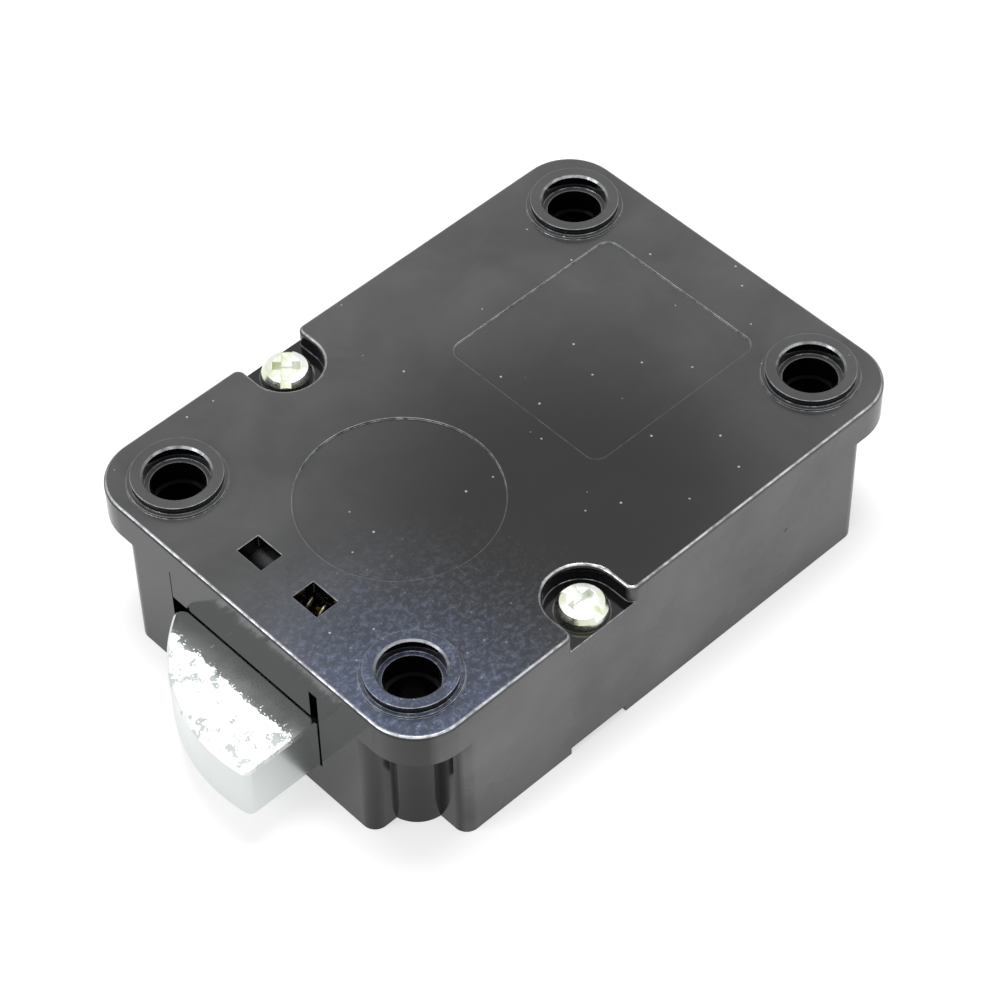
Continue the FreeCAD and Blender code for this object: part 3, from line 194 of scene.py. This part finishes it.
def lacquerFilmAndSheen(tree, place, look, upward, facesUp, handledAndSheen, mottle):
    # how much grey film lies there: dust even over the top, wiped off the middle, blotchy by the bolt, its
    # gradient also a painted reflection;
    # streaked on the near wall as a painted reflection of the floor
    wipedAndDimSheen = nearness(tree, place, look["wipedAndDimSheen"])
    cloud = addNode(tree, "ShaderNodeTexNoise", {
        "Vector": place, "Scale": perMetre(look["cloudSize"]),
        "Detail": 7.0, "Roughness": 0.6, "Distortion": 0.4,
    })
    cloudy = addNode(tree, "ShaderNodeMapRange", {
        "Value": cloud, "From Min": 0.3, "From Max": 0.7, "To Min": 0.75, "To Max": 1.25,
    })
    kept = addNode(tree, "ShaderNodeMapRange", {
        "Value": wipedAndDimSheen, "To Min": look["topFilmAndSheen"], "To Max": look["wipedAndDimSheenFilm"],
    })
    uneven = addNode(tree, "ShaderNodeMath", {0: kept, 1: cloudy}, operation="MULTIPLY")
    patchy = addNode(tree, "ShaderNodeMath", {0: handledAndSheen, 1: mottle}, operation="MULTIPLY")
    withHandsAndSheen = addNode(tree, "ShaderNodeMath", {
        0: patchy, 1: look["handledFilmAndSheen"], 2: uneven,
    }, operation="MULTIPLY_ADD")
    topFilmAndSheen = addNode(tree, "ShaderNodeMath", {
        0: withHandsAndSheen, 1: facesUp,
    }, operation="MULTIPLY", use_clamp=True)

    # the near wall: streaked grey, a painted reflection of the pale floor
    streaks = addNode(tree, "ShaderNodeTexNoise", {
        "Vector": place, "Scale": perMetre(look["streakSize"]), "Detail": 3.0,
    })
    wallPaintedSheen = addNode(tree, "ShaderNodeMath", {0: streaks, 1: look["wallPaintedSheen"] * 2}, operation="MULTIPLY")
    standing = addNode(tree, "ShaderNodeMath", {0: 1.0, 1: upward}, operation="SUBTRACT")
    across = addNode(tree, "ShaderNodeSeparateXYZ", {0: place}).outputs["Y"]
    outside = addNode(tree, "ShaderNodeMapRange", {
        "Value": across, "From Min": (look["nearWall"] + 0.6) * mm, "From Max": look["nearWall"] * mm,
    })
    onWall = addNode(tree, "ShaderNodeMath", {0: standing, 1: outside}, operation="MULTIPLY")
    sidePaintedSheen = addNode(tree, "ShaderNodeMath", {0: wallPaintedSheen, 1: onWall}, operation="MULTIPLY")
    return addNode(tree, "ShaderNodeMath", {0: topFilmAndSheen, 1: sidePaintedSheen}, operation="MAXIMUM")


def dustGrains(tree, place, look, facesUp, handledAndSheen, mottle):
    # grains of dust: few and small everywhere, crowded by the bolt end
    few = specks(tree, place, 2.0, 0.19, 0.2)
    many = specks(tree, place, 0.7, 0.16, 0.45)
    crowded = addNode(tree, "ShaderNodeMath", {0: many, 1: handledAndSheen}, operation="MULTIPLY")
    patches = addNode(tree, "ShaderNodeMath", {0: crowded, 1: mottle}, operation="MULTIPLY")
    both = addNode(tree, "ShaderNodeMath", {0: few, 1: patches}, operation="MAXIMUM")
    lying = addNode(tree, "ShaderNodeMath", {0: both, 1: facesUp}, operation="MULTIPLY")
    return addNode(tree, "ShaderNodeMath", {0: lying, 1: look["grainCover"]}, operation="MULTIPLY")


def rubbedEdgesAndGlints(tree, place, look):
    # thin bright lines where edges are rubbed to the metal, and painted highlights along the rounded edges,
    # fuller and emptier along their length
    wearAndGlintLine = edgeWearAndGlint(tree, place, look["lineWidth"], look["handledAndGlintFrom"], look["seamClear"])
    along = addNode(tree, "ShaderNodeTexNoise", {
        "Vector": place, "Scale": perMetre(look["lineBreakSize"]), "Detail": 6.0,
    })
    broken = addNode(tree, "ShaderNodeMapRange", {
        "Value": along, "From Min": 0.36, "From Max": 0.6, "To Min": 0.4, "To Max": 1.0,
    })
    return addNode(tree, "ShaderNodeMath", {0: wearAndGlintLine, 1: broken}, operation="MULTIPLY")


def lacquerSkin(tree, place, look):
    # the light waviness of sprayed lacquer, which bends what it mirrors
    peel = addNode(tree, "ShaderNodeTexNoise", {
        "Vector": place, "Scale": perMetre(look["peelSize"]), "Detail": 2.0,
    })
    sag = addNode(tree, "ShaderNodeTexNoise", {
        "Vector": place, "Scale": perMetre(look["sagSize"]), "Detail": 1.0,
    })
    height = addNode(tree, "ShaderNodeMath", {0: peel, 1: 0.12, 2: sag}, operation="MULTIPLY_ADD")
    return addNode(tree, "ShaderNodeBump", {"Height": height, "Strength": 0.1, "Distance": 0.0004})


def makeLacquer(look):
    # lacquer baked on a zinc casting: deep and glossy, so it mirrors the room;
    # dust and handling haze it on top; painted reflection in the haze and on the near wall, painted
    # highlights along the edges, painted shade in a pit
    material, tree, place = newMaterial(look["name"])
    tall = addNode(tree, "ShaderNodeSeparateXYZ", {0: place}).outputs["Z"]
    surface = addNode(tree, "ShaderNodeNewGeometry")
    normal = addNode(tree, "ShaderNodeSeparateXYZ", {0: surface.outputs["Normal"]})
    upward = addNode(tree, "ShaderNodeMapRange", {
        "Value": normal.outputs["Z"], "From Min": 0.35, "From Max": 0.95,
    })
    onTop = addNode(tree, "ShaderNodeMapRange", {
        "Value": tall, "From Min": (look["topLevel"] - 0.4) * mm, "From Max": look["topLevel"] * mm,
    })
    facesUp = addNode(tree, "ShaderNodeMath", {0: upward, 1: onTop}, operation="MULTIPLY")
    # by the bolt end: crowded dust grains, and the painted bluish reflection
    handledAndSheen = nearness(tree, place, look["handledAndSheen"])
    fine = addNode(tree, "ShaderNodeTexNoise", {
        "Vector": place, "Scale": perMetre(look["mottleSize"]), "Detail": 7.0, "Roughness": 0.78,
    })
    mottle = addNode(tree, "ShaderNodeMapRange", {"Value": fine, "From Min": 0.47, "From Max": 0.66})

    filmAndSheen = lacquerFilmAndSheen(tree, place, look, upward, facesUp, handledAndSheen, mottle)
    # the haze turns bluer by the bolt end: a painted reflection as well as dust
    bluishSheen = addNode(tree, "ShaderNodeMath", {0: handledAndSheen, 1: facesUp}, operation="MULTIPLY")
    filmAndSheenColour = addNode(tree, "ShaderNodeMix", {
        "Factor": bluishSheen, "A": toLinear(look["filmAndSheen"]), "B": toLinear(look["blueFilmAndSheen"]),
    }, data_type="RGBA")
    hazedAndSheened = addNode(tree, "ShaderNodeMix", {
        "Factor": filmAndSheen, "A": toLinear(look["black"]), "B": filmAndSheenColour,
    }, data_type="RGBA")
    dustyAndSheened = addNode(tree, "ShaderNodeMix", {
        "Factor": dustGrains(tree, place, look, facesUp, handledAndSheen, mottle),
        "A": hazedAndSheened, "B": toLinear(look["grain"]),
    }, data_type="RGBA")
    # rubbed edges and painted edge highlights, in bright zinc
    wornAndGlinting = rubbedEdgesAndGlints(tree, place, look)
    rubbedAndGlint = addNode(tree, "ShaderNodeMix", {
        "Factor": wornAndGlinting, "A": dustyAndSheened, "B": toLinear(look["rubbedAndGlint"]),
    }, data_type="RGBA")
    # a black dot on the near wall: painted shade inside a casting pit
    withPitShade = addNode(tree, "ShaderNodeMix", {
        "Factor": nearness(tree, place, look["pitShade"]), "A": rubbedAndGlint, "B": toLinear(look["pitShadeColour"]),
    }, data_type="RGBA")

    # gloss: sharp on clean lacquer, softer under the grey film of dust and painted sheen
    dullness = addNode(tree, "ShaderNodeMath", {0: filmAndSheen, 1: 2.5}, operation="MULTIPLY", use_clamp=True)
    rough = addNode(tree, "ShaderNodeMapRange", {
        "Value": dullness, "To Min": look["roughness"], "To Max": look["dustyRoughness"],
    })
    shader = addNode(tree, "ShaderNodeBsdfPrincipled", {
        "Base Color": withPitShade, "Metallic": wornAndGlinting, "Roughness": rough,
        "Normal": lacquerSkin(tree, place, look), "IOR": look["ior"],
    })
    addNode(tree, "ShaderNodeOutputMaterial", {"Surface": shader})
    return material


platedLook = {
    "name": "brightPlatedZincCasting",
    "mirror": "#cfd4d3",
    "frost": "#f8fafc",
    "caseShadeColour": "#3a3b3c",         # painted shade where the bolt turns inside the case
    "mirrorRoughness": 0.12,
    "frostRoughness": 0.5,
    "frostStarts": -43.7,        # the frosted end stands clear of the case by a plain band
    "frostFull": -45.2,
    "inside": -40.4,
    "blotchSize": 2.6,
    "sheenSize": 7,
    "gritSize": 0.35,
    "waveSize": 5,
}


def makePlated(look):
    # a tumbled casting with bright plating: a mirror that turns to sparkling frost in patches on its face
    material, tree, place = newMaterial(look["name"])
    parts = addNode(tree, "ShaderNodeSeparateXYZ", {0: place})
    surface = addNode(tree, "ShaderNodeNewGeometry")
    normal = addNode(tree, "ShaderNodeSeparateXYZ", {0: surface.outputs["Normal"]})
    facesUp = addNode(tree, "ShaderNodeMapRange", {
        "Value": normal.outputs["Z"], "From Min": 0.5, "From Max": 0.9,
    })
    blotches = addNode(tree, "ShaderNodeTexNoise", {
        "Vector": place, "Scale": perMetre(look["blotchSize"]), "Detail": 9.0, "Roughness": 0.74,
    })
    reach = addNode(tree, "ShaderNodeMapRange", {
        "Value": parts.outputs["X"], "From Min": look["frostStarts"] * mm, "From Max": look["frostFull"] * mm,
        "To Min": -0.22, "To Max": 0.05,
    })
    level = addNode(tree, "ShaderNodeMath", {0: blotches, 1: reach}, operation="ADD")
    island = addNode(tree, "ShaderNodeMapRange", {"Value": level, "From Min": 0.515, "From Max": 0.54})
    sparks = specks(tree, place, 0.33, 0.13, 0.45)
    near = addNode(tree, "ShaderNodeMapRange", {"Value": level, "From Min": 0.38, "From Max": 0.5})
    lit = addNode(tree, "ShaderNodeMath", {0: sparks, 1: near}, operation="MULTIPLY")
    either = addNode(tree, "ShaderNodeMath", {0: island, 1: lit}, operation="MAXIMUM")
    frost = addNode(tree, "ShaderNodeMath", {0: either, 1: facesUp}, operation="MULTIPLY")
    sheen = addNode(tree, "ShaderNodeTexNoise", {
        "Vector": place, "Scale": perMetre(look["sheenSize"]), "Detail": 3.0,
    })
    mirrorRough = addNode(tree, "ShaderNodeMapRange", {
        "Value": sheen, "From Min": 0.3, "From Max": 0.7,
        "To Min": look["mirrorRoughness"], "To Max": look["mirrorRoughness"] * 1.9,
    })
    rough = addNode(tree, "ShaderNodeMix", {"Factor": frost, "A": mirrorRough, "B": look["frostRoughness"]})
    bright = addNode(tree, "ShaderNodeMix", {
        "Factor": frost, "A": toLinear(look["mirror"]), "B": toLinear(look["frost"]),
    }, data_type="RGBA")
    # darker inside the case: painted shade
    inside = addNode(tree, "ShaderNodeMapRange", {
        "Value": parts.outputs["X"], "From Min": (look["inside"] - 0.8) * mm, "From Max": look["inside"] * mm,
    })
    colour = addNode(tree, "ShaderNodeMix", {
        "Factor": inside, "A": bright, "B": toLinear(look["caseShadeColour"]),
    }, data_type="RGBA")
    grit = addNode(tree, "ShaderNodeTexNoise", {
        "Vector": place, "Scale": perMetre(look["gritSize"]), "Detail": 3.0,
    })
    height = addNode(tree, "ShaderNodeMath", {0: grit, 1: frost}, operation="MULTIPLY")
    wave = addNode(tree, "ShaderNodeTexNoise", {
        "Vector": place, "Scale": perMetre(look["waveSize"]), "Detail": 2.0,
    })
    together = addNode(tree, "ShaderNodeMath", {0: wave, 1: 0.5, 2: height}, operation="MULTIPLY_ADD")
    bump = addNode(tree, "ShaderNodeBump", {"Height": together, "Strength": 0.2, "Distance": 0.0002})
    shader = addNode(tree, "ShaderNodeBsdfPrincipled", {
        "Base Color": colour, "Metallic": 1.0, "Roughness": rough, "Normal": bump,
    })
    addNode(tree, "ShaderNodeOutputMaterial", {"Surface": shader})
    return material


# Bare and plated metals: colour, roughness, and the size of the grain left by drawing, turning or plating
metalLooks = {
    "screw_zinc": {"name": "brightZincPlatedSteel", "metal": "#eef0ec", "tint": "#dfe5cb", "roughness": 0.3,
                   "grainMm": 0.5},
    "magnet_nickel": {"name": "nickelPlatedMagnet", "metal": "#cfd0d0", "tint": "#c4c5c6", "roughness": 0.15,
                      "grainMm": 0.6},
    "spring_steel": {"name": "drawnSpringSteel", "metal": "#97989a", "tint": "#848587", "roughness": 0.3,
                     "grainMm": 0.3},
    "slide_steel": {"name": "sinteredSteel", "metal": "#9a9b9c", "tint": "#868787", "roughness": 0.42,
                    "grainMm": 0.25},
    "spring_brass": {"name": "drawnBrassWire", "metal": "#bdb69c", "tint": "#8d8670", "roughness": 0.28,
                     "grainMm": 0.3},
    "terminal_brass": {"name": "tinnedBrass", "metal": "#c9bd8f", "tint": "#bdb49a", "roughness": 0.3,
                       "grainMm": 0.4},
    "collar_brass": {"name": "turnedBrass", "metal": "#cfa657", "tint": "#b98f45", "roughness": 0.22,
                     "grainMm": 0.2},
    "armature_steel": {"name": "woundSteelCore", "metal": "#a58a78", "tint": "#8f5f45", "roughness": 0.35,
                       "grainMm": 0.2},
    "motor_steel": {"name": "groundSteelShaft", "metal": "#b9babb", "tint": "#a7a8aa", "roughness": 0.18,
                    "grainMm": 0.2},
    "crystal_can": {"name": "tinPlatedCan", "metal": "#c7c8c8", "tint": "#b7b8ba", "roughness": 0.2,
                    "grainMm": 0.5},
}


platingDriftMm = 2.5


def makeMetal(look):
    # a clear metal whose fine grain breaks the highlight, with a faint drift of tint in the plating
    material, tree, place = newMaterial(look["name"])
    grain = addNode(tree, "ShaderNodeTexNoise", {
        "Vector": place, "Scale": perMetre(look["grainMm"]), "Detail": 4.0,
    })
    rough = addNode(tree, "ShaderNodeMapRange", {
        "Value": grain, "From Min": 0.3, "From Max": 0.7,
        "To Min": look["roughness"] * 0.75, "To Max": look["roughness"] * 1.3,
    })
    drift = addNode(tree, "ShaderNodeTexNoise", {
        "Vector": place, "Scale": perMetre(platingDriftMm), "Detail": 2.0,
    })
    share = addNode(tree, "ShaderNodeMapRange", {"Value": drift, "From Min": 0.4, "From Max": 0.65})
    colour = addNode(tree, "ShaderNodeMix", {
        "Factor": share, "A": toLinear(look["metal"]), "B": toLinear(look["tint"]),
    }, data_type="RGBA")
    bump = addNode(tree, "ShaderNodeBump", {"Height": grain, "Strength": 0.15, "Distance": 0.00005})
    shader = addNode(tree, "ShaderNodeBsdfPrincipled", {
        "Base Color": colour, "Metallic": 1.0, "Roughness": rough, "Normal": bump,
    })
    addNode(tree, "ShaderNodeOutputMaterial", {"Surface": shader})
    return material


# Moulded, coated and fired pieces: their two close shades, gloss and grain
mouldedLooks = {
    # a black-sleeved can whose darkness also stands in for the shade inside the case: painted shade
    "motor_black_steel": {"name": "motorCanDarkenedForShade", "light": "#1a1a1b", "dark": "#0e0e0f",
                          "roughness": 0.4, "grainMm": 0.4},
    "magnet_ferrite": {"name": "firedFerrite", "light": "#2b2b2e", "dark": "#1f1f22", "roughness": 0.6,
                       "grainMm": 0.2},
    "black_nylon": {"name": "blackMouldedNylon", "light": "#1b1b1c", "dark": "#111112", "roughness": 0.5,
                    "grainMm": 0.4},
    "white_nylon": {"name": "whiteMouldedNylon", "light": "#dedbd0", "dark": "#cfcbbd", "roughness": 0.45,
                    "grainMm": 0.6},
    "board_glass_epoxy": {"name": "greenSolderMask", "light": "#1d5a33", "dark": "#123f23",
                          "roughness": 0.25, "grainMm": 0.5},
    "chip_epoxy": {"name": "mouldedEpoxy", "light": "#232324", "dark": "#18181a", "roughness": 0.55,
                   "grainMm": 0.2},
    "capacitor_sleeve": {"name": "shrunkSleeve", "light": "#1c2740", "dark": "#121a2d", "roughness": 0.3,
                         "grainMm": 0.8},
    "lead_red_pvc": {"name": "redPvcInsulation", "light": "#a51a16", "dark": "#8c1512", "roughness": 0.35,
                     "grainMm": 0.5},
    "lead_black_pvc": {"name": "blackPvcInsulation", "light": "#202021", "dark": "#151516", "roughness": 0.35,
                       "grainMm": 0.5},
    "resistor_ceramic": {"name": "firedCeramicChip", "light": "#2a2a2e", "dark": "#1d1d20", "roughness": 0.4,
                         "grainMm": 0.2},
}


def makeMoulded(look):
    # an even skin with a soft mottle and the fine grain of its mould
    material, tree, place = newMaterial(look["name"])
    grain = addNode(tree, "ShaderNodeTexNoise", {
        "Vector": place, "Scale": perMetre(look["grainMm"]), "Detail": 4.0,
    })
    colour = addNode(tree, "ShaderNodeMix", {
        "Factor": grain, "A": toLinear(look["dark"]), "B": toLinear(look["light"]),
    }, data_type="RGBA")
    bump = addNode(tree, "ShaderNodeBump", {"Height": grain, "Strength": 0.2, "Distance": 0.00005})
    shader = addNode(tree, "ShaderNodeBsdfPrincipled", {
        "Base Color": colour, "Roughness": look["roughness"], "Normal": bump,
    })
    addNode(tree, "ShaderNodeOutputMaterial", {"Surface": shader})
    return material


finishes = {"black_casting": makeLacquer(lacquerLook), "bolt_zinc": makePlated(platedLook)}
finishes.update({slot: makeMetal(look) for slot, look in metalLooks.items()})
finishes.update({slot: makeMoulded(look) for slot, look in mouldedLooks.items()})
print("materials made:", len(finishes))


# The modelled pieces take their finish, and the listed pieces a small rounding on their sharper edges, in mm
edgeRounding = {
    "housing": 0.12,
    "cover": 0.16,
    "swing_bolt": 0.15,
    "cover_screws": 0.08,
    "motor_cradle": 0.1,
}


def dressNodes():
    slotOf = {part["node"]: part["material_slot"] for part in frame["record"]["subparts"]}
    for name, piece in nodes.items():
        piece.data.materials.clear()
        piece.data.materials.append(finishes[slotOf[name]])
        if name in edgeRounding:
            bevel = piece.modifiers.new("edgeRounding", "BEVEL")
            bevel.width = edgeRounding[name] * mm
            bevel.segments = 2
            bevel.limit_method = "ANGLE"
            bevel.angle_limit = math.radians(40)
    print("nodes dressed")


dressNodes()


# Floor, light and background
studio = {
    "floorSize": 4.0,
    "floor": "#d8d8d8",
    "floorSeen": 0.6,       # what the camera sees of the white sweep, besides its own light
    "floorMirrored": 0.52,  # and what gloss sees of it
    "room": 0.4,            # light that reaches the lock from all round
    "lamps": {
        # a soft lamp high behind the lock: the shadow falls towards the camera
        "overheadSoft": {"place": (0.17, 0.15, 1.19), "size": 0.5, "power": 7.0},
        "leftSoft": {"place": (-0.8, 0.3, 0.55), "size": 0.5, "power": 2.4},
    },
}


def makeFloor(setup):
    half = setup["floorSize"] / 2
    mesh = bpy.data.meshes.new("paleFloor")
    corners = [(-half, -half, 0), (half, -half, 0), (half, half, 0), (-half, half, 0)]
    mesh.from_pydata(corners, [], [(0, 1, 2, 3)])
    floor = bpy.data.objects.new("paleFloor", mesh)
    scene.collection.objects.link(floor)
    material, tree, place = newMaterial("whitePaper")
    paper = addNode(tree, "ShaderNodeBsdfDiffuse", {"Color": toLinear(setup["floor"])})
    rays = addNode(tree, "ShaderNodeLightPath")
    seen = addNode(tree, "ShaderNodeMath", {
        0: rays.outputs["Is Camera Ray"], 1: setup["floorSeen"],
    }, operation="MULTIPLY")
    mirrored = addNode(tree, "ShaderNodeMath", {
        0: rays.outputs["Is Glossy Ray"], 1: setup["floorMirrored"],
    }, operation="MULTIPLY")
    strength = addNode(tree, "ShaderNodeMath", {0: seen, 1: mirrored}, operation="MAXIMUM")
    glow = addNode(tree, "ShaderNodeEmission", {"Strength": strength})
    both = addNode(tree, "ShaderNodeAddShader", {0: paper, 1: glow})
    addNode(tree, "ShaderNodeOutputMaterial", {"Surface": both})
    mesh.materials.append(material)


def makeRoom(setup):
    world = bpy.data.worlds.new("softRoom")
    scene.world = world
    world.use_nodes = True
    tree = world.node_tree
    tree.nodes.clear()
    rays = addNode(tree, "ShaderNodeLightPath")
    gloss = addNode(tree, "ShaderNodeMath", {
        0: rays.outputs["Is Glossy Ray"], 1: rays.outputs["Is Transmission Ray"],
    }, operation="MAXIMUM")
    seen = addNode(tree, "ShaderNodeMath", {0: gloss, 1: rays.outputs["Is Camera Ray"]}, operation="MAXIMUM")
    strength = addNode(tree, "ShaderNodeMapRange", {"Value": seen, "To Min": setup["room"], "To Max": 1.0})
    white = addNode(tree, "ShaderNodeBackground", {"Color": toLinear("#ffffff"), "Strength": strength})
    addNode(tree, "ShaderNodeOutputWorld", {"Surface": white})


def makeLamps(setup):
    for name, lamp in setup["lamps"].items():
        data = bpy.data.lights.new(name, "AREA")
        data.size = lamp["size"]
        data.energy = lamp["power"]
        light = bpy.data.objects.new(name, data)
        scene.collection.objects.link(light)
        place = Vector(lamp["place"])
        aim = place.to_track_quat("Z", "Y").to_matrix().to_4x4()
        light.matrix_world = Matrix.Translation(place) @ aim
    print("studio lit")


makeFloor(studio)
makeRoom(studio)
makeLamps(studio)
